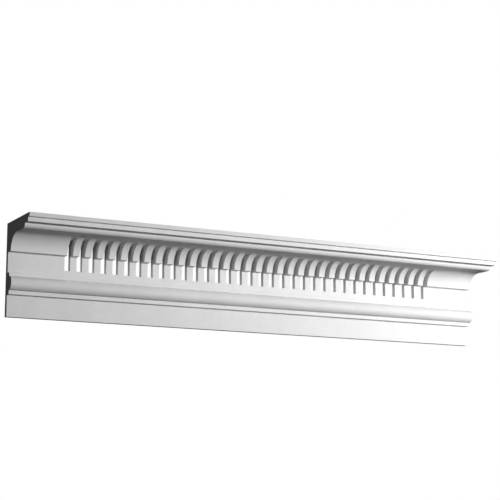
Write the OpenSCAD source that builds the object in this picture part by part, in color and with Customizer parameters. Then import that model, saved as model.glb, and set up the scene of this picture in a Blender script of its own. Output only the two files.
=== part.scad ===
// Cornice moulding length with a dentil row
//
// One straight cast length of ceiling cornice, cut square at both ends, with a flat
// back for the wall and a flat top for the ceiling.  From the foot up the section runs:
// plain fascia, fillet, half round bead, fillet, frieze, cove, flat soffit, ovolo and
// two square bands.  A row of upright slots is cut through the frieze and the cove and
// leaves the dentils standing between them, with a plain stretch at each end.
//
// The origin is the line where wall and ceiling meet, half way along the length.
// X runs along the wall, the front faces -Y and +Z is up.  All sizes are in mm.

/* [Overall size] */
// Length of the piece along the wall
length = 1000; // [400:10:2400]
// Height of the back that lies on the wall
height = 170; // [140:1:230]
// Projection of the top that lies on the ceiling
projection = 121; // [100:1:160]

/* [Foot] */
// Projection of the plain fascia and of the frieze
face_projection = 9.5; // [6:0.5:15]
// Projection of the two fillets beside the bead
fillet_projection = 19; // [16:0.5:22]
// Height of each fillet
fillet_height = 7.1; // [4:0.1:12]
// Radius of the half round bead
bead_radius = 12.8; // [8:0.1:16]

/* [Frieze and cove] */
// Height of the frieze between the upper fillet and the cove
frieze_height = 37.2; // [28:0.1:46]
// Projection of the lower edge of the cove, where its curve would stand upright
cove_projection = 23.5; // [20:0.5:30]
// Radius of the cove
cove_radius = 32; // [26:0.5:38]
// How far the centre of the cove lies below its lower edge
cove_centre_drop = 2; // [0.5:0.5:6]

/* [Crown] */
// Radius of the ovolo under the bands
ovolo_radius = 8; // [5:0.5:11]
// Height of each of the two top bands
band_height = 7.75; // [5:0.25:10]
// How far the upper band stands out from the lower one
band_step = 7; // [3:0.5:12]
// How far the lower band stands out from the ovolo
crown_step = 16; // [8:0.5:22]

/* [Dentil row] */
// Width of each slot
slot_width = 10.9; // [6:0.1:16]
// Distance from one slot to the next
slot_pitch = 23.5; // [20:0.5:36]
// Plain frieze left below the slots
slot_sill = 11.5; // [6:0.5:18]
// Thickness left between the top of a slot and the flat soffit
slot_head = 0.5; // [0.3:0.1:4]
// Least plain stretch left at each end
blank_end = 100; // [40:5:140]

/* [View] */
// Which sub-part to show

/* [Hidden] */

// heights of the section, counted from the ceiling down to the foot
crown_soffit = -2 * band_height;
flat_soffit = crown_soffit - ovolo_radius;
cove_edge = flat_soffit - cove_radius + cove_centre_drop;
frieze_foot = cove_edge - frieze_height;
bead_centre = frieze_foot - fillet_height - bead_radius;
fascia_top = bead_centre - bead_radius - fillet_height;

// distances out from the wall
lower_band = projection - band_step;
ovolo_front = lower_band - crown_step;
ovolo_centre = ovolo_front - ovolo_radius;
cove_centre = cove_projection + cove_radius;

// the row of slots, centred on the length
slot_count = 1 + floor((length - 2 * blank_end - slot_width) / slot_pitch);
slot_low = frieze_foot + slot_sill;
slot_rise = flat_soffit - slot_head - slot_low;

$fn = 96;

// square-cornered outline of the section, [distance from the wall, height]
function outline() = [
    [0, 0],
    [0, -height],
    [face_projection, -height],
    [face_projection, fascia_top],
    [fillet_projection, fascia_top],
    [fillet_projection, frieze_foot],
    [face_projection, frieze_foot],
    [face_projection, cove_edge],
    [cove_centre, cove_edge],
    [cove_centre, flat_soffit],
    [ovolo_centre, flat_soffit],
    [ovolo_centre, crown_soffit],
    [lower_band, crown_soffit],
    [lower_band, -band_height],
    [projection, -band_height],
    [projection, 0]
];

module section() {
    difference() {
        union() {
            polygon(outline());
            translate([fillet_projection, bead_centre])
                circle(r = bead_radius);
            translate([ovolo_centre, crown_soffit])
                circle(r = ovolo_radius);
        }
        translate([cove_centre, cove_edge - cove_centre_drop])
            circle(r = cove_radius);
    }
}

module run_of_moulding() {
    rotate([90, 0, -90])
        linear_extrude(height = length, center = true)
            section();
}

module slot() {
    translate([-slot_width / 2, -cove_centre, slot_low])
        cube([slot_width, cove_centre + 5, slot_rise]);
}

module slots() {
    for (i = [0 : slot_count - 1])
        translate([(i - (slot_count - 1) / 2) * slot_pitch, 0, 0])
            slot();
}

module cornice() {
    color([0.93, 0.93, 0.92])
        difference() {
            run_of_moulding();
            slots();
        }
}

cornice();
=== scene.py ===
# %% [markdown]
# # A plaster cornice length with a dentil row
#
# This lesson builds one metre of ceiling cornice, the moulding that covers the corner
# between a wall and a ceiling.  A real one is cast in gypsum plaster: a long mould holds
# the section, the plaster is poured, and the back is struck off flat.  The ends are then
# sawn square so that lengths can be butted together.
#
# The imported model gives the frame: X runs along the wall, the front faces -Y, and the
# origin is the line where wall and ceiling meet.

# %% Load the frame
import bpy, bmesh, math
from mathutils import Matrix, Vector


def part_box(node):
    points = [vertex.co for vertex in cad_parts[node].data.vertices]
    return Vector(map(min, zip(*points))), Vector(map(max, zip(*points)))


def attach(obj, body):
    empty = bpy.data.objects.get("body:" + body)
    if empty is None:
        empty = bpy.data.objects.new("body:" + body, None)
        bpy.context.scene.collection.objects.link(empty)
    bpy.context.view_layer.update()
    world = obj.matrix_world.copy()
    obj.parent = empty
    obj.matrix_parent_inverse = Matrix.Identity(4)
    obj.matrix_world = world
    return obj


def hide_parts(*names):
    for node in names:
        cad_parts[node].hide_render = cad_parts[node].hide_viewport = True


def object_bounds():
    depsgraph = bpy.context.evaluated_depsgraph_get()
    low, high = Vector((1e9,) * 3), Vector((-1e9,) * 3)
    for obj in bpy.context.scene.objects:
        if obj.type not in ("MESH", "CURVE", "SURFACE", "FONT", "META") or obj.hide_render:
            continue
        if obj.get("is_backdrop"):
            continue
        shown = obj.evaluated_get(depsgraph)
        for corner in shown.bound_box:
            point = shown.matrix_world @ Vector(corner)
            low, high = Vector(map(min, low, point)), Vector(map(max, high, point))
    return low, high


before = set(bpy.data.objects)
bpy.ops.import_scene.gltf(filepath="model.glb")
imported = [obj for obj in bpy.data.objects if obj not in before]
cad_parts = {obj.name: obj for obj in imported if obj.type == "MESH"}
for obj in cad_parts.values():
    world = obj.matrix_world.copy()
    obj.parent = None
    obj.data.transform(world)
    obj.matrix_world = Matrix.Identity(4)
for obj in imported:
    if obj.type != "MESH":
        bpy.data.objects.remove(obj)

cad_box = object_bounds()
low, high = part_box("cornice")
# its three sizes, in metres
LENGTH = high.x - low.x
PROJECTION = -low.y
HEIGHT = -low.z
print("cornice: length %.3f, projection %.3f, height %.3f m" % (LENGTH, PROJECTION, HEIGHT))

# %% [markdown]
# ## The section
#
# Everything about a cornice is in its section.  It could be typed in as a long list of
# points, but a plasterer's template is drawn with a rule and a pair of compasses, so this
# one is too.  A single vertex is the pen: extruding it draws a straight stroke, and
# spinning it about a centre draws a round one.  Heights are counted down from the ceiling
# and distances out from the wall, both in millimetres.

# %% Sizes of the section
MM = 0.001
FACE = 9.5            # fascia and frieze, out from the wall
FILLET = 19.0         # the two fillets beside the bead
FILLET_TALL = 7.1
BEAD = 12.8           # radius of the half round
FRIEZE_TALL = 37.2
COVE_FROM = 23.5      # where the cove's curve would stand upright
COVE = 32.0           # radius of the cove
COVE_DROP = 2.0       # its centre lies this far below its lower edge
OVOLO = 8.0
BAND_TALL = 7.75
BAND_STEP = 7.0
CROWN_STEP = 16.0

deep = PROJECTION / MM
tall = HEIGHT / MM
crown_soffit = -2 * BAND_TALL
flat_soffit = crown_soffit - OVOLO
cove_edge = flat_soffit - COVE + COVE_DROP
frieze_foot = cove_edge - FRIEZE_TALL
bead_mid = frieze_foot - FILLET_TALL - BEAD
fascia_top = bead_mid - BEAD - FILLET_TALL
lower_band = deep - BAND_STEP
ovolo_mid = lower_band - CROWN_STEP - OVOLO
cove_mid = COVE_FROM + COVE
print("fascia %.1f mm, bead centre %.1f, frieze foot %.1f, cove edge %.1f, flat soffit %.1f"
      % (tall + fascia_top, bead_mid, frieze_foot, cove_edge, flat_soffit))

# %% A pen that draws straight and round strokes
WIDE_STEPS = 24       # strokes in the bead and in the cove
TIGHT_STEPS = 12      # strokes in the small ovolo
section = bmesh.new()
soft = {"arris": section.verts.layers.float.new("arris"),
        "quirk": section.verts.layers.float.new("quirk")}
END = -LENGTH / 2


def place(out, down):
    """A point of the section: out from the wall and down from the ceiling, in mm."""
    return Vector((END, -out * MM, down * MM))


def rule(pen, out, down):
    """A straight stroke to a point."""
    stroke = bmesh.ops.extrude_vert_indiv(section, verts=[pen])
    stroke["verts"][0].co = place(out, down)
    return stroke["verts"][0]


def compasses(pen, out, down, degrees, steps):
    """A round stroke about a centre."""
    turn = bmesh.ops.spin(section, geom=[pen], cent=place(out, down), axis=(1, 0, 0),
                          angle=math.radians(degrees), steps=steps,
                          use_merge=False, use_duplicate=False)
    return [g for g in turn["geom_last"] if isinstance(g, bmesh.types.BMVert)][0]


# %% Draw the section from the wall round to the ceiling
arrises = []          # outside corners
quirks = []           # inside corners
start = bmesh.ops.create_vert(section, co=place(0, 0))["vert"][0]
pen = rule(start, 0, -tall)
arrises.append(pen)
pen = rule(pen, FACE, -tall)
arrises.append(pen)
pen = rule(pen, FACE, fascia_top)
quirks.append(pen)
pen = rule(pen, FILLET, fascia_top)
arrises.append(pen)
pen = rule(pen, FILLET, bead_mid - BEAD)
pen = compasses(pen, FILLET, bead_mid, -180, WIDE_STEPS)
pen = rule(pen, FILLET, frieze_foot)
arrises.append(pen)
pen = rule(pen, FACE, frieze_foot)
quirks.append(pen)
pen = rule(pen, FACE, cove_edge)
quirks.append(pen)
lip = cove_mid - math.sqrt(COVE ** 2 - COVE_DROP ** 2)
pen = rule(pen, lip, cove_edge)
arrises.append(pen)
sweep = 90 - math.degrees(math.asin(COVE_DROP / COVE))
pen = compasses(pen, cove_mid, cove_edge - COVE_DROP, sweep, WIDE_STEPS)
pen = rule(pen, ovolo_mid, flat_soffit)
pen = compasses(pen, ovolo_mid, crown_soffit, -90, TIGHT_STEPS)
quirks.append(pen)
pen = rule(pen, lower_band, crown_soffit)
arrises.append(pen)
pen = rule(pen, lower_band, -BAND_TALL)
quirks.append(pen)
pen = rule(pen, deep, -BAND_TALL)
arrises.append(pen)
pen = rule(pen, deep, 0)
arrises.append(pen)
bmesh.ops.contextual_create(section, geom=[pen, start])
section.verts.ensure_lookup_table()
print("section:", len(section.verts), "points,",
      "lowest %.2f mm, furthest out %.2f mm" % (min(v.co.z for v in section.verts) / MM,
                                               -min(v.co.y for v in section.verts) / MM))

# %% [markdown]
# ## Soft arrises
#
# Plaster never leaves a mould with knife edges: the outside corners are a little worn and
# the inside ones hold a trace of release oil and slurry.  Rounding could wait until the
# whole solid stands, but thousands of long edges would then be bevelled together.  It is
# far cleaner on the flat section, where each corner is just one vertex.

# %% Fill the section and round its corners
ARRIS = 0.8           # how far an outside corner is cut back
QUIRK = 0.4           # how far an inside corner is filled
bmesh.ops.contextual_create(section, geom=section.edges[:])
for kind, corners, size in (("arris", arrises, ARRIS), ("quirk", quirks, QUIRK)):
    for number, corner in enumerate(corners, start=1):
        rounding = bmesh.ops.bevel(section, geom=[corner], offset=size * MM, segments=3,
                                   profile=0.5, affect="VERTICES", material=-1)
        for vert in rounding["verts"]:
            vert[soft[kind]] = number
print("rounded section:", len(section.verts), "points,", len(section.faces), "face,",
      "%.1f cm2" % (section.faces[:][0].calc_area() * 1e4))

# %% [markdown]
# ## The dentil row
#
# The dentils are what a row of upright slots leaves standing.  A boolean with a row of
# blocks would cut them, but it leaves long ragged faces that take no bevel.  Here the
# section is scored at the foot and the head of the slots, then pushed along the wall in
# steps that stop at every slot side.  Each slot is then a small patch on the front and one
# on the back: both are removed and four walls join their rims.

# %% Where the slots stand
SLOT = 10.9
PITCH = 23.5
SILL = 11.5           # frieze left under the slots
HEAD = 0.5            # left between a slot and the flat soffit
BLANK = 100.0         # least plain stretch at an end

count = 1 + math.floor((LENGTH / MM - 2 * BLANK - SLOT) / PITCH)
slot_foot = (frieze_foot + SILL) * MM
slot_head = (flat_soffit - HEAD) * MM
middles = [(i - (count - 1) / 2) * PITCH for i in range(count)]
slots = [((m - SLOT / 2) * MM, (m + SLOT / 2) * MM) for m in middles]
print(count, "slots, %.1f mm wide and %.1f mm tall, first side %.1f mm from the end"
      % (SLOT, (slot_head - slot_foot) / MM, (slots[0][0] - END) / MM))

# %% Score the section and push it along the wall
cornice = section
for level in (slot_foot, slot_head):
    bmesh.ops.bisect_plane(cornice, geom=cornice.verts[:] + cornice.edges[:] + cornice.faces[:],
                           plane_co=(0, 0, level), plane_no=(0, 0, 1), dist=1e-7)
stops = [END] + [side for slot in slots for side in slot] + [-END]
leading = cornice.verts[:] + cornice.edges[:] + cornice.faces[:]
for here, there in zip(stops, stops[1:]):
    push = bmesh.ops.extrude_face_region(cornice, geom=leading)["geom"]
    leading = push
    bmesh.ops.translate(cornice, vec=(there - here, 0, 0),
                        verts=[g for g in push if isinstance(g, bmesh.types.BMVert)])
print("pushed through", len(stops), "stops:", len(cornice.faces), "faces")

# %% Open the slots
NEAR = 1e-6           # metres; two places closer than this are the same


def looks_along(face):
    """True for a face turned more to the ends than to the front, the back, up or down."""
    return abs(face.normal.x) > 0.5


def in_slot(face):
    """True for a face of the front or the back that lies where a slot goes."""
    mid = face.calc_center_median()
    if not slot_foot < mid.z < slot_head or looks_along(face):
        return False
    return any(left < mid.x < right for left, right in slots)


patches = [f for f in cornice.faces if in_slot(f)]
bmesh.ops.delete(cornice, geom=patches, context="FACES")
rims = [e for e in cornice.edges if e.is_boundary]
print(len(patches), "patches removed,", len(rims), "rim edges left")


# %% Wall up each slot
def joined(a, b):
    """A new edge from one corner of the front rim to the same corner of the back rim."""
    return bmesh.ops.contextual_create(cornice, geom=[a, b])["edges"][:]


mouth = []            # the front rim, rounded further down
for left, right in slots:
    rim = [e for e in rims if all(left - NEAR < v.co.x < right + NEAR for v in e.verts)]
    front = [e for e in rim if max(v.co.y for v in e.verts) < -NEAR]
    back = [e for e in rim if e not in front]
    depth = {}
    for x in (left, right):
        for z in (slot_foot, slot_head):
            ends = [next(v for e in half for v in e.verts
                         if abs(v.co.x - x) < NEAR and abs(v.co.z - z) < NEAR)
                    for half in (front, back)]
            depth[x, z] = joined(*ends)
    for x in (left, right):
        side = [e for e in rim if all(abs(v.co.x - x) < NEAR for v in e.verts)]
        bmesh.ops.contextual_create(cornice, geom=side + depth[x, slot_foot] + depth[x, slot_head])
        mouth += [e for e in side if e in front]
    for z in (slot_foot, slot_head):
        level = [e for e in rim if all(abs(v.co.z - z) < NEAR for v in e.verts)]
        bmesh.ops.contextual_create(cornice, geom=level + depth[left, z] + depth[right, z])
        if z == slot_foot:
            mouth += [e for e in level if e in front]
bmesh.ops.recalc_face_normals(cornice, faces=cornice.faces[:])
open_edges = sum(not e.is_manifold for e in cornice.edges)
print("walled:", len(cornice.faces), "faces, open edges", open_edges,
      "volume %.3f litres" % (cornice.calc_volume() * 1000))

# %% Soften the rims of the slots and the sawn ends
RIM = 0.6             # millimetres off the slots' front rims
SAWN_RIM = 0.35       # and off the outline of each end


def outline_of_end(edge):
    """True for an edge round one of the two ends, but not for a score line across it."""
    at_end = all(abs(abs(v.co.x) - LENGTH / 2) < NEAR for v in edge.verts)
    return at_end and any(not looks_along(f) for f in edge.link_faces)


sawn = [e for e in cornice.edges if outline_of_end(e)]
worn = []
for edges, size in ((mouth, RIM), (sawn, SAWN_RIM)):
    rounding = bmesh.ops.bevel(cornice, geom=edges, offset=size * MM, segments=2, profile=0.5,
                               affect="EDGES", material=-1, clamp_overlap=True)
    worn += rounding["faces"]
print("softened", len(mouth), "rim edges and", len(sawn), "end edges into", len(worn), "faces")

# %% [markdown]
# ## Three surfaces of one casting
#
# The mould gives a close, smooth face.  The back and the top are struck off by hand and
# left open so that the adhesive grips.  The ends are sawn.  Each face of the mesh gets the
# number of its surface, and a colour on each face corner remembers which strips are worn
# arrises, which are inside corners and which are walls of slots, so that the materials can
# find them.

# %% Number the surfaces and mark the arrises
CAST, STRUCK, SAWN = 0, 1, 2
PAINTED = (1, 1, 1, 1)
BARE = (0, 0, 0, 1)
marks = {kind: cornice.loops.layers.float_color.new(kind + "_mark") for kind in soft}
# marks the walls of the slots, where a wash of painted shade is laid deep inside
slot_mark = cornice.loops.layers.float_color.new("slot_mark")
worn = set(worn)
tally = [0, 0, 0]
for face in cornice.faces:
    mid = face.calc_center_median()
    if mid.y > -NEAR or mid.z > -NEAR:
        face.material_index = STRUCK
    elif abs(mid.x) > LENGTH / 2 - NEAR:
        face.material_index = SAWN
    else:
        face.material_index = CAST
    tally[face.material_index] += 1
    for kind in soft:
        numbers = {round(v[soft[kind]], 3) for v in face.verts}
        marked = (len(numbers) == 1 and min(numbers) > 0) or (kind == "arris" and face in worn)
        for corner in face.loops:
            corner[marks[kind]] = PAINTED if marked else BARE
    slot_wall = face.material_index == CAST and looks_along(face)
    for corner in face.loops:
        corner[slot_mark] = PAINTED if slot_wall else BARE
print("cast %d, struck %d, sawn %d faces" % tuple(tally))

# %% Make the casting an object
CREASE = math.radians(35)     # sharper turns than this stay sharp
mesh = bpy.data.meshes.new("cornice_casting")
bmesh.ops.recalc_face_normals(cornice, faces=cornice.faces[:])
open_edges = sum(not e.is_manifold for e in cornice.edges)
print("open edges", open_edges, "volume %.3f litres" % (cornice.calc_volume() * 1000))
cornice.to_mesh(mesh)
cornice.free()
mesh.shade_smooth()
mesh.set_sharp_from_angle(angle=CREASE)
casting = bpy.data.objects.new("cornice_casting", mesh)
bpy.context.scene.collection.objects.link(casting)
flats = casting.modifiers.new("flats stay flat", "WEIGHTED_NORMAL")
flats.mode = "FACE_AREA"
flats.keep_sharp = True
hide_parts("cornice")
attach(casting, "root")
mesh.calc_loop_triangles()
print("casting:", len(mesh.vertices), "vertices,", len(mesh.loop_triangles), "triangles")

# %% [markdown]
# ## The finish
#
# White plaster looks plain only from across the room.  Close to, it has a fine grain,
# faint marks drawn along the length by the running mould, a few burst air bubbles, soft
# clouding where it dried unevenly, arrises that hands have rubbed and a little dust in the
# inside corners.  Painted image maps could hold all this, but they blur close to and
# stretch round the curves.  Here each effect is a small node group that works in the
# casting's own space, in real millimetres, so it is sharp at any distance.
#
# First come a few short helpers.  They place a node with its inputs filled in, do sums and
# fades, make noise of a size given in millimetres, and mix colours.

# %% Helpers for nodes
def node(tree, kind, inputs=None, **settings):
    """A new node; each of its inputs is given as a value or as a socket to link."""
    made = tree.nodes.new("ShaderNode" + kind)
    for key, value in settings.items():
        setattr(made, key, value)
    for key, value in (inputs or {}).items():
        if isinstance(value, bpy.types.NodeSocket):
            tree.links.new(value, made.inputs[key])
        else:
            made.inputs[key].default_value = value
    return made


def calc(tree, operation, *terms, clamp=False):
    """The result of a Math node."""
    made = node(tree, "Math", dict(enumerate(terms)), operation=operation, use_clamp=clamp)
    return made.outputs[0]


def total(tree, start, *parts):
    """A start value plus every part, each given with its weight."""
    for part, weight in parts:
        start = calc(tree, "MULTIPLY_ADD", part, weight, start)
    return start


def fade(tree, value, start, stop, low=0.0, high=1.0):
    """A smooth step from low to high as the value goes from start to stop."""
    made = node(tree, "MapRange", {"Value": value, "From Min": start, "From Max": stop,
                                   "To Min": low, "To Max": high},
                interpolation_type="SMOOTHSTEP")
    return made.outputs["Result"]


def noise_of(tree, size_mm, detail, rough=0.5, place=None):
    """Noise whose lumps measure about size_mm, a value or a socket."""
    scale = calc(tree, "DIVIDE", 1000.0, size_mm)
    made = node(tree, "TexNoise", {"Vector": place, "Scale": scale, "Detail": detail,
                                   "Roughness": rough})
    return made.outputs[0]


def blend_colour(tree, amount, first, second):
    """A colour between two others."""
    made = node(tree, "Mix", {0: amount, 6: first, 7: second}, data_type="RGBA")
    return made.outputs[2]


def tone(white, shade):
    """A shade of the plaster's white; the darker ones are a touch warmer."""
    warm = 0.005 * max(0.0, 1.0 - shade)
    return (white * shade * (1 + warm), white * shade, white * shade * (1 - warm), 1.0)


# %% [markdown]
# ### Effects as node groups
#
# A group can be dropped into any material and set by its named sockets, like a tool with
# labelled knobs.  Two more helpers open a group with its sockets and send its results out.

# %% Helpers for node groups
def effect(name, takes, gives):
    """An empty node group with named sockets: its tree, its inputs and its outputs."""
    group = bpy.data.node_groups.new(name, "ShaderNodeTree")
    for label, value in takes.items():
        kind = "NodeSocketVector" if label == "Place" else "NodeSocketFloat"
        socket = group.interface.new_socket(name=label, in_out="INPUT", socket_type=kind)
        if value is not None:
            socket.default_value = value
    for label in gives:
        group.interface.new_socket(name=label, in_out="OUTPUT", socket_type="NodeSocketFloat")
    return (group, group.nodes.new("NodeGroupInput").outputs,
            group.nodes.new("NodeGroupOutput").inputs)


def send(group, out, **results):
    """Link the results of a group to its outputs."""
    for label, value in results.items():
        group.links.new(value, out[label])


# %% [markdown]
# ### Grain and clouding
#
# Set plaster is a felt of tiny crystals.  Two sizes of noise make its tooth: one near the
# grain itself and one a few times larger.  A swell some 30 mm long keeps the flats from
# looking machined.  For the tone, a broad clouding comes from uneven drying and a finer
# mottle from the way the slurry settled; both change the white by only a few percent.

# %% Effect: plaster grain
grain, get, out = effect("plaster grain", {"Place": None, "Grain mm": 0.7, "Cloud mm": 80.0},
                         ["Height", "Cloud", "Mottle"])

fine = noise_of(grain, get["Grain mm"], 3.0, 0.6, get["Place"])
tooth = noise_of(grain, calc(grain, "MULTIPLY", get["Grain mm"], 5.0), 2.0, 0.5, get["Place"])
swell = noise_of(grain, 32.0, 1.0, 0.5, get["Place"])
cloud = noise_of(grain, get["Cloud mm"], 3.0, 0.6, get["Place"])
mottle = noise_of(grain, 9.0, 4.0, 0.65, get["Place"])
height = total(grain, 0.0, (fine, 0.045), (tooth, 0.12), (swell, 0.45))
send(grain, out, Height=height, Cloud=fade(grain, cloud, 0.32, 0.68),
     Mottle=fade(grain, mottle, 0.35, 0.7))
print("plaster grain:", len(grain.nodes), "nodes")

# %% [markdown]
# ### Burst air bubbles
#
# Air trapped against the mould leaves round pits, most of them about a millimetre across.
# Voronoi cells scatter points evenly; keeping only the cells whose random colour is low
# thins them out, and a second random channel varies their size, so no pattern shows.

# %% Effect: air holes
holes, get, out = effect("air holes", {"Place": None, "Spacing mm": 10.0, "Hole mm": 0.55,
                                       "Share": 0.2}, ["Pit", "Height"])
cells = node(holes, "TexVoronoi", {"Vector": get["Place"],
                                   "Scale": calc(holes, "DIVIDE", 1000.0, get["Spacing mm"])})
chance = node(holes, "SeparateColor", {"Color": cells.outputs["Color"]})
kept = calc(holes, "LESS_THAN", chance.outputs[0], get["Share"])
reach = calc(holes, "MULTIPLY", calc(holes, "DIVIDE", get["Hole mm"], get["Spacing mm"]),
             calc(holes, "ADD", 0.4, chance.outputs[1]))
inside = fade(holes, calc(holes, "DIVIDE", cells.outputs["Distance"], reach), 1.0, 0.5)
pit = calc(holes, "MULTIPLY", inside, kept)
send(holes, out, Pit=pit, Height=calc(holes, "MULTIPLY", pit, -1.0))
print("air holes:", len(holes.nodes), "nodes")

# %% [markdown]
# ### Rubbed arrises
#
# The outside corners are where a casting is handled.  They burnish a little, and here and
# there a crumb is missing.  The mark painted on the arris strips says where; noise along
# the strip breaks it up, so that no edge is worn evenly from end to end.

# %% Effect: rubbed arris
rubbed, get, out = effect("rubbed arris", {"Place": None, "Mark": 0.0}, ["Rub", "Nick", "Height"])
patchy = noise_of(rubbed, 26.0, 3.0, 0.5, get["Place"])
crumb = noise_of(rubbed, 3.2, 2.0, 0.5, get["Place"])
rub = calc(rubbed, "MULTIPLY", get["Mark"], fade(rubbed, patchy, 0.38, 0.62))
nick = calc(rubbed, "MULTIPLY", get["Mark"], fade(rubbed, crumb, 0.62, 0.70))
send(rubbed, out, Rub=rub, Nick=nick, Height=calc(rubbed, "MULTIPLY", nick, -1.0))
print("rubbed arris:", len(rubbed.nodes), "nodes")

# %% [markdown]
# ### Settled dust
#
# Dust lies on what faces up, such as the back of the bead and the ledge over the fascia,
# and it packs into the inside corners.  The surface normal finds the first and the painted
# mark the second.

# %% Effect: settled dust
dust, get, out = effect("settled dust", {"Place": None, "Mark": 0.0, "Ledges": 0.6}, ["Dust"])
facing = node(dust, "NewGeometry")
upward = node(dust, "SeparateXYZ", {"Vector": facing.outputs["Normal"]})
ledge = calc(dust, "MULTIPLY", fade(dust, upward.outputs["Z"], 0.35, 0.95), get["Ledges"])
broken = noise_of(dust, 14.0, 4.0, 0.65, get["Place"])
lying = calc(dust, "MULTIPLY", calc(dust, "MAXIMUM", ledge, get["Mark"]),
             fade(dust, broken, 0.3, 0.65, 0.35, 1.0))
send(dust, out, Dust=lying)
print("settled dust:", len(dust.nodes), "nodes")

# %% [markdown]
# ### One recipe for three surfaces
#
# Every surface is the same plaster, so one function lays down the shared effects and each
# material adds what its own tool left.  The cast face keeps the long drawn lines of the
# running mould.  The struck back has the drag of a straight edge and strands of fibre near
# the skin.  The sawn ends have the strokes of a coarse saw and more open holes, because
# the cut goes through the bubbles inside.
#
# Colours are laid over each other like washes: each wash has a tone and a mask, and the
# mask says how strongly it covers.  The last wash is painted shade: a grey laid deep in
# the slots above the frieze, growing towards the back, because the lamps alone leave the
# depth of the slots too light.  Heights are added up in millimetres and go through one
# bump node at the end.

# %% Lay washes of colour
def washed(tree, base, white, washes):
    """A base colour under washes.  Each wash is a mask, its strength and its shade."""
    for mask, strength, shade in washes:
        cover = calc(tree, "MULTIPLY", mask, strength)
        base = blend_colour(tree, cover, base, tone(white, shade))
    return base


def painted_slot_shade(tree, place):
    """Painted shade deep in the slots: full by the back, gone 26 mm out from the wall."""
    slot_wall = node(tree, "Attribute", attribute_name="slot_mark").outputs["Fac"]
    spot = node(tree, "SeparateXYZ", {"Vector": place}).outputs
    deep_in = fade(tree, spot["Y"], -26 * MM, -10 * MM)
    above_frieze = fade(tree, spot["Z"], cove_edge * MM, (cove_edge + 5) * MM)
    return calc(tree, "MULTIPLY", calc(tree, "MULTIPLY", slot_wall, deep_in), above_frieze)


# %% Build a plaster
GLOSS = 0.3           # dry plaster reflects less than most solids
PIT_DEPTH = 0.35      # millimetres, the depth of a burst bubble
NICK_DEPTH = 0.2      # and of a missing crumb


def plaster(name, white, rough, grain_mm, hole_gap_mm, hole_share, own_marks):
    """A plaster material.  own_marks(tree, place) gives the height of the tool marks in
    millimetres and a mask of where they darken the surface."""
    material = bpy.data.materials.new(name)
    material.use_nodes = True
    tree = material.node_tree
    surface = tree.nodes["Principled BSDF"]
    surface.inputs["Specular IOR Level"].default_value = GLOSS
    place = node(tree, "TexCoord").outputs["Object"]
    arris = node(tree, "Attribute", attribute_name="arris_mark").outputs["Fac"]
    quirk = node(tree, "Attribute", attribute_name="quirk_mark").outputs["Fac"]
    body = node(tree, "Group", {"Place": place, "Grain mm": grain_mm}, node_tree=grain).outputs
    bubbles = node(tree, "Group", {"Place": place, "Spacing mm": hole_gap_mm,
                                   "Share": hole_share}, node_tree=holes).outputs
    edge = node(tree, "Group", {"Place": place, "Mark": arris}, node_tree=rubbed).outputs
    grime = node(tree, "Group", {"Place": place, "Mark": quirk}, node_tree=dust).outputs
    tool_height, tool_mask = own_marks(tree, place)

    clouded = blend_colour(tree, body["Cloud"], tone(white, 0.955), tone(white, 1.015))
    colour = washed(tree, clouded, white, (
        (body["Mottle"], 0.30, 0.93),
        (tool_mask, 1.00, 0.86),
        (bubbles["Pit"], 0.60, 0.55),
        (edge["Rub"], 0.45, 1.06),
        (edge["Nick"], 0.40, 0.80),
        (grime["Dust"], 0.25, 0.72),
        # painted shade deep in the slots above the frieze, where the lamps leave them too light
        (painted_slot_shade(tree, place), 1.00, 0.74)))
    tree.links.new(colour, surface.inputs["Base Color"])

    roughness = total(tree, rough, (body["Cloud"], 0.07), (body["Mottle"], 0.08),
                      (edge["Rub"], -0.16), (grime["Dust"], 0.15))
    tree.links.new(roughness, surface.inputs["Roughness"])

    relief = total(tree, tool_height, (body["Height"], 1.0), (bubbles["Height"], PIT_DEPTH),
                   (edge["Height"], NICK_DEPTH))
    bump = node(tree, "Bump", {"Strength": 1.0, "Distance": MM, "Height": relief})
    tree.links.new(bump.outputs["Normal"], surface.inputs["Normal"])
    mesh.materials.append(material)
    print(name + ":", len(tree.nodes), "nodes")


# %% [markdown]
# ### Marks of the running mould
#
# The cast face keeps faint parallel lines, because the pattern it was moulded from was run
# along a rail with a metal template.  They could be cut as real grooves, but grooves a few
# hundredths of a millimetre deep would cost millions of faces.  Noise stretched along the
# length gives them: it changes slowly along X and quickly across.

# %% The cast face
def drawn_lines(tree, place):
    """Faint lines along the length, left by the running mould."""
    along = node(tree, "Mapping", {"Vector": place, "Scale": (3.0, 420.0, 420.0)})
    lines = node(tree, "TexNoise", {"Vector": along.outputs[0], "Scale": 1.0, "Detail": 2.0})
    slow = node(tree, "Mapping", {"Vector": place, "Scale": (5.0, 70.0, 70.0)})
    waver = node(tree, "TexNoise", {"Vector": slow.outputs[0], "Scale": 1.0, "Detail": 1.0})
    height = total(tree, 0.0, (lines.outputs[0], 0.05), (waver.outputs[0], 0.12))
    return height, fade(tree, lines.outputs[0], 0.56, 0.75, 0.0, 0.15)


plaster("cast plaster", white=0.685, rough=0.52, grain_mm=0.7, hole_gap_mm=10.0,
        hole_share=0.16, own_marks=drawn_lines)

# %% [markdown]
# ### Chopped fibre
#
# Short strands are stirred into the wet plaster to toughen it, and where the back is struck
# off some lie bare.  Strands need a length, a direction and a slight bend, which plain noise
# can't give.  So the surface is split into cells, and each cell draws one strand through its
# own middle: the offset from the middle is turned by a random angle, bent by a random
# amount, and kept where it is close to a line.  The back is upright and the top is level, so
# adding Y to Z lays both out flat.

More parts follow.
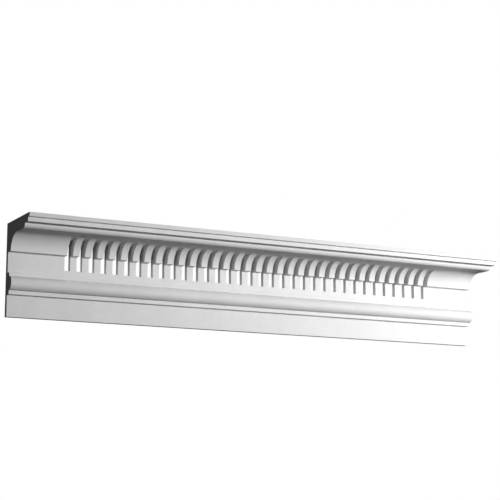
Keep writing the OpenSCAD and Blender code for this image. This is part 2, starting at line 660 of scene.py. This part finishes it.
# %% Effect: fibre strands
fibres, get, out = effect("fibre strands", {"Place": None, "Spacing mm": 20.0, "Thick mm": 0.3,
                                            "Share": 0.5}, ["Fibre"])
spot = node(fibres, "SeparateXYZ", {"Vector": get["Place"]})
flat = node(fibres, "CombineXYZ", {"X": spot.outputs["X"],
                                   "Y": calc(fibres, "ADD", spot.outputs["Y"], spot.outputs["Z"])})
zoom = node(fibres, "VectorMath", {0: flat.outputs[0]}, operation="SCALE")
fibres.links.new(calc(fibres, "DIVIDE", 1000.0, get["Spacing mm"]), zoom.inputs["Scale"])
cells = node(fibres, "TexVoronoi", {"Vector": zoom.outputs[0], "Scale": 1.0},
             voronoi_dimensions="2D")
lot = node(fibres, "SeparateColor", {"Color": cells.outputs["Color"]})
offset = node(fibres, "VectorMath", {0: zoom.outputs[0], 1: cells.outputs["Position"]},
              operation="SUBTRACT")
turned = node(fibres, "VectorRotate", {"Vector": offset.outputs[0],
                                       "Angle": calc(fibres, "MULTIPLY", lot.outputs[0], math.pi)},
              rotation_type="Z_AXIS")
strand = node(fibres, "SeparateXYZ", {"Vector": turned.outputs[0]})
along, aside = strand.outputs["X"], strand.outputs["Y"]
bend = calc(fibres, "MULTIPLY", calc(fibres, "SUBTRACT", lot.outputs[1], 0.5), 1.6)
bend = calc(fibres, "MULTIPLY", bend, calc(fibres, "MULTIPLY", along, along))
away = calc(fibres, "ABSOLUTE", calc(fibres, "SUBTRACT", aside, bend))
away = calc(fibres, "MULTIPLY", away, get["Spacing mm"])
line = fade(fibres, calc(fibres, "DIVIDE", away, get["Thick mm"]), 0.5, 0.15)
line = calc(fibres, "MULTIPLY", line, fade(fibres, calc(fibres, "ABSOLUTE", along), 0.45, 0.3))
line = calc(fibres, "MULTIPLY", line, calc(fibres, "LESS_THAN", lot.outputs[2], get["Share"]))
send(fibres, out, Fibre=line)
print("fibre strands:", len(fibres.nodes), "nodes")


# %% The struck back and top
def drag_and_fibre(tree, place):
    """Shallow drag of the straight edge, torn spots, and bare strands of fibre."""
    pull = node(tree, "Mapping", {"Vector": place, "Scale": (9.0, 150.0, 150.0)})
    drag = node(tree, "TexNoise", {"Vector": pull.outputs[0], "Scale": 1.0, "Detail": 3.0,
                                   "Roughness": 0.55})
    torn = noise_of(tree, 22.0, 6.0, 0.6, place)
    tear = fade(tree, torn, 0.52, 0.72)
    strands = 0.0
    for spacing, share in ((24.0, 0.45), (17.0, 0.35), (31.0, 0.5)):
        shifted = node(tree, "VectorMath", {0: place, 1: (spacing, 0.0, 0.0)}, operation="ADD")
        lay = node(tree, "Group", {"Place": shifted.outputs[0], "Spacing mm": spacing,
                                   "Share": share}, node_tree=fibres)
        strands = calc(tree, "MAXIMUM", strands, lay.outputs["Fibre"])
    height = total(tree, 0.0, (drag.outputs[0], 0.35), (torn, 0.8), (tear, -0.25),
                   (strands, 0.1))
    streak = fade(tree, drag.outputs[0], 0.48, 0.7, 0.0, 0.3)
    dark = calc(tree, "MAXIMUM", streak, calc(tree, "MULTIPLY", tear, 0.4))
    return height, calc(tree, "MAXIMUM", dark, calc(tree, "MULTIPLY", strands, 0.5))


plaster("struck plaster", white=0.66, rough=0.72, grain_mm=1.2, hole_gap_mm=8.0,
        hole_share=0.3, own_marks=drag_and_fibre)

# %% [markdown]
# ### Marks of the saw
#
# A cut by hand is a field of short, nearly parallel scratches that cross where the stroke
# changed its lean.  One stretched noise would look combed, so two are laid over each other
# at a slight angle, and the tone changes most where they meet.

# %% The sawn ends
def saw_strokes(tree, place):
    """Strokes of the saw, a little off upright, each set slightly skewed to the last."""
    strokes = []
    for lean, across, down in ((9, 620.0, 26.0), (-17, 340.0, 14.0)):
        turned = node(tree, "Mapping", {"Vector": place, "Rotation": (math.radians(lean), 0, 0),
                                        "Scale": (1.0, across, down)})
        stroke = node(tree, "TexNoise", {"Vector": turned.outputs[0], "Scale": 1.0, "Detail": 3.0})
        strokes.append(stroke.outputs[0])
    height = total(tree, 0.0, (strokes[0], 0.22), (strokes[1], 0.32))
    crossed = calc(tree, "MULTIPLY", strokes[0], calc(tree, "MULTIPLY", strokes[1], 2.0))
    return height, fade(tree, crossed, 0.52, 0.8, 0.0, 0.4)


plaster("sawn plaster", white=0.68, rough=0.66, grain_mm=0.9, hole_gap_mm=4.5,
        hole_share=0.45, own_marks=saw_strokes)

# %% [markdown]
# ## The camera
#
# A cornice is seen from below and from one side, looking along its length, so the camera
# stands left of the casting, lower than it and tilted up.  A lens near 100 mm keeps the two
# ends from looking much different in size.  Aiming with a direction vector avoids a tracking
# constraint, and the angles can be read straight off: yaw turns to the right, pitch tilts up.

# %% Camera
MIDDLE = Vector((0, -PROJECTION / 2, -HEIGHT / 2))
LENS = 103.6          # millimetres, on a 36 mm sensor
STAND = Vector((-1.2952, -2.4497, -0.5015))
YAW = math.radians(27.736)
PITCH_UP = math.radians(10.123)
camera = bpy.data.objects.new("camera", bpy.data.cameras.new("camera"))
bpy.context.scene.collection.objects.link(camera)
camera.data.sensor_width = 36.0
camera.data.lens = LENS
camera.location = STAND
aim = Vector((math.sin(YAW) * math.cos(PITCH_UP), math.cos(YAW) * math.cos(PITCH_UP),
              math.sin(PITCH_UP)))
camera.rotation_euler = aim.to_track_quat("-Z", "Y").to_euler()
bpy.context.scene.camera = camera
print("camera %.2f m from the middle of the casting" % (STAND - MIDDLE).length)

# %% [markdown]
# ## The floor
#
# The casting hangs in the air where the top of a wall would be, so the floor lies a tall
# room's height below, and there is space to look up at the casting from under it.  A white
# floor under studio lamps throws light back up and would fill the shadows under the crown,
# which make the section readable.  So this one glows evenly for the camera and sends nothing
# to the casting.

# %% Floor
FLOOR_LEVEL = -3.0
FLOOR_REACH = 200.0   # so far that its edge reads as a level horizon
floor_sheet = bmesh.new()
bmesh.ops.create_grid(floor_sheet, x_segments=1, y_segments=1, size=FLOOR_REACH)
bmesh.ops.translate(floor_sheet, verts=floor_sheet.verts[:], vec=(0, 0, FLOOR_LEVEL))
floor_mesh = bpy.data.meshes.new("floor")
floor_sheet.to_mesh(floor_mesh)
floor_sheet.free()
floor = bpy.data.objects.new("floor", floor_mesh)
bpy.context.scene.collection.objects.link(floor)
floor.visible_diffuse = False
floor.visible_glossy = False
pale = bpy.data.materials.new("pale floor")
pale.use_nodes = True
ground = pale.node_tree.nodes["Principled BSDF"]
ground.inputs["Base Color"].default_value = (0.3, 0.3, 0.3, 1)
ground.inputs["Roughness"].default_value = 0.9
ground.inputs["Emission Color"].default_value = (1, 1, 1, 1)
ground.inputs["Emission Strength"].default_value = 0.72
floor_mesh.materials.append(pale)
floor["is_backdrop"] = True
print("floor at %.2f m" % FLOOR_LEVEL)

# %% [markdown]
# ## The light
#
# A moulding is read by its shadows, so the light is low and comes from one side.  A soft
# lamp level with the casting and to the right of its middle is the key, and a weaker one
# nearer the front softens its shadows.  Another near the right end brightens that end, and a
# weak one on the left keeps the left end from going black.  One behind and above lights the
# back and the top, and a little of it comes through the slots.  The room is white to the
# camera but gives the casting almost no light of its own, which keeps the soffits dark.
#
# The numbers of a lamp are its azimuth and elevation in degrees, its distance and its width
# in metres, and its power in watts.

# %% Light
bpy.context.scene.view_settings.view_transform = "Standard"


def soft_lamp(name, azimuth, elevation, distance, size, watts):
    """A round soft lamp aimed at the casting.  Azimuth is 0 in front and grows to the right."""
    disk = bpy.data.lights.new(name, "AREA")
    disk.shape = "DISK"
    disk.size = size
    disk.energy = watts
    lamp = bpy.data.objects.new(name, disk)
    bpy.context.scene.collection.objects.link(lamp)
    turn, rise = math.radians(azimuth), math.radians(elevation)
    away = Vector((math.sin(turn) * math.cos(rise), -math.cos(turn) * math.cos(rise),
                   math.sin(rise)))
    lamp.location = MIDDLE + away * distance
    lamp.rotation_euler = (-away).to_track_quat("-Z", "Y").to_euler()
    lamp.visible_camera = False


soft_lamp("key", 45, 1, 2.3, 0.2, 45.0)
soft_lamp("front", 30, 2, 2.3, 0.2, 14.5)
soft_lamp("right end", 60, 6, 1.7, 0.5, 8.0)
soft_lamp("left fill", -40, 2, 3.0, 0.2, 6.0)
soft_lamp("back and top", 180, 60, 2.6, 1.0, 50.0)

# %% A white room
ROOM_GLOW = 0.009
world = bpy.data.worlds.new("white room")
bpy.context.scene.world = world
world.use_nodes = True
room = world.node_tree.nodes["Background"]
room.inputs["Color"].default_value = (1, 1, 1, 1)
path = world.node_tree.nodes.new("ShaderNodeLightPath")
glow = world.node_tree.nodes.new("ShaderNodeMapRange")
glow.inputs["To Min"].default_value = ROOM_GLOW
glow.inputs["To Max"].default_value = 1.0
world.node_tree.links.new(path.outputs["Is Camera Ray"], glow.inputs["Value"])
world.node_tree.links.new(glow.outputs["Result"], room.inputs["Strength"])
print(len(bpy.data.lights), "lamps and a room glow of", ROOM_GLOW)

# %% [markdown]
#
# The visual casting has to fill the same box as the model it stands in for: a fit is planned
# from the model, and a look that is wider would cut into its wall.  Every arris was rounded
# inwards, so the two boxes agree; the cell below prints how far apart they are.

# %% Check the size
visual_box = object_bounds()
gap = max(abs(a - b) for one, two in zip(cad_box, visual_box) for a, b in zip(one, two))
print("largest difference between the two boxes %.3f mm" % (gap / MM))
